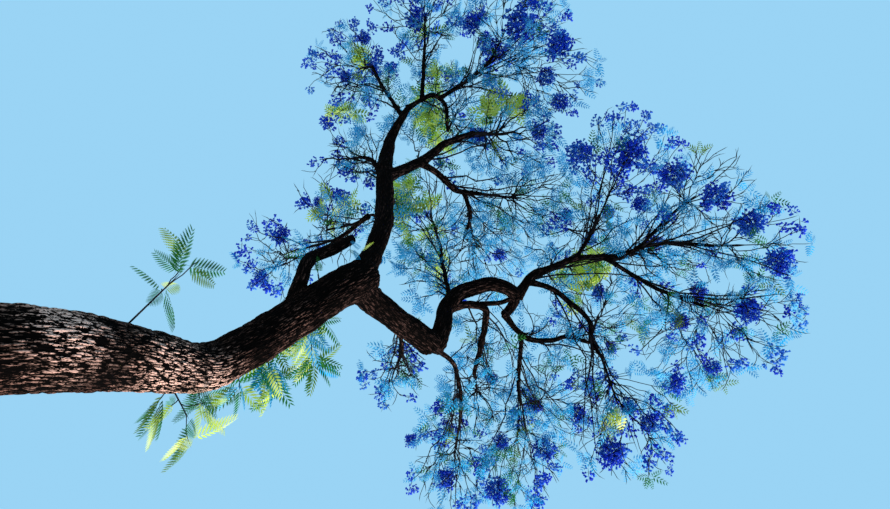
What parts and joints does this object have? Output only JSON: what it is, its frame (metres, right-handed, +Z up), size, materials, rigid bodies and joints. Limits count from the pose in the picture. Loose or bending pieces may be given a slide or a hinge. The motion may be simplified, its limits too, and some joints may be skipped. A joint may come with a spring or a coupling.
{
  "type": "jacaranda tree",
  "caption": "Mature jacaranda tree in blossom, with a tall swaying trunk, a high fork, bare winding boughs and a wide, open, flat-topped crown.",
  "frame": {"origin": "middle of the flat cut under the trunk, at ground level", "axes": "+Z up the tree; +Y away from the viewer of the picture and +X to that viewer's right, as they face the trunk"},
  "size_m": [9.8647, 8.6572, 13.7188],
  "materials": {
    "bark": "finely fissured grey-brown bark, rough and matte",
    "foliage": "thin feathery green leaves and blue-violet blossom, matte"
  },
  "bodies": {
    "root": {"trunk": "bark", "stub": "bark", "left_bough": "bark", "left_low_bough": "bark", "left_outer_bough": "bark", "left_arch_bough": "bark", "left_high_bough": "bark", "left_far_bough": "bark", "left_inner_bough": "bark", "left_mid_bough": "bark", "centre_bough": "bark", "back_bough": "bark", "back_low_bough": "bark", "right_bough": "bark", "right_arch_bough": "bark", "right_curl_bough": "bark", "right_strand_bough": "bark", "right_top_bough": "bark", "right_out_bough": "bark", "top_rim_bough": "bark", "top_outer_bough": "bark", "top_side_bough": "bark", "top_left_bough": "bark", "right_low_bough": "bark", "near_low_bough": "bark", "knee_bough": "bark", "riser_bough": "bark", "right_link_bough": "bark", "under_bough": "bark", "left_outer_foliage": "foliage", "left_high_foliage": "foliage", "left_far_foliage_a": "foliage", "left_far_foliage_b": "foliage", "left_low_foliage": "foliage", "left_arch_foliage": "foliage", "left_inner_foliage": "foliage", "left_mid_foliage": "foliage", "riser_foliage": "foliage", "centre_foliage": "foliage", "back_foliage": "foliage", "back_low_foliage": "foliage", "top_left_foliage_a": "foliage", "top_left_foliage_b": "foliage", "right_top_foliage": "foliage", "top_outer_foliage": "foliage", "top_rim_foliage": "foliage", "top_side_foliage_a": "foliage", "top_side_foliage_b": "foliage", "right_low_foliage": "foliage", "right_out_foliage": "foliage", "near_low_foliage_a": "foliage", "near_low_foliage_b": "foliage", "knee_foliage": "foliage", "strand_foliage": "foliage", "under_foliage": "foliage", "fork_shoot": "foliage", "left_shoot": "foliage", "right_shoot": "foliage", "high_shoot": "foliage"}
  },
  "joints": []
}
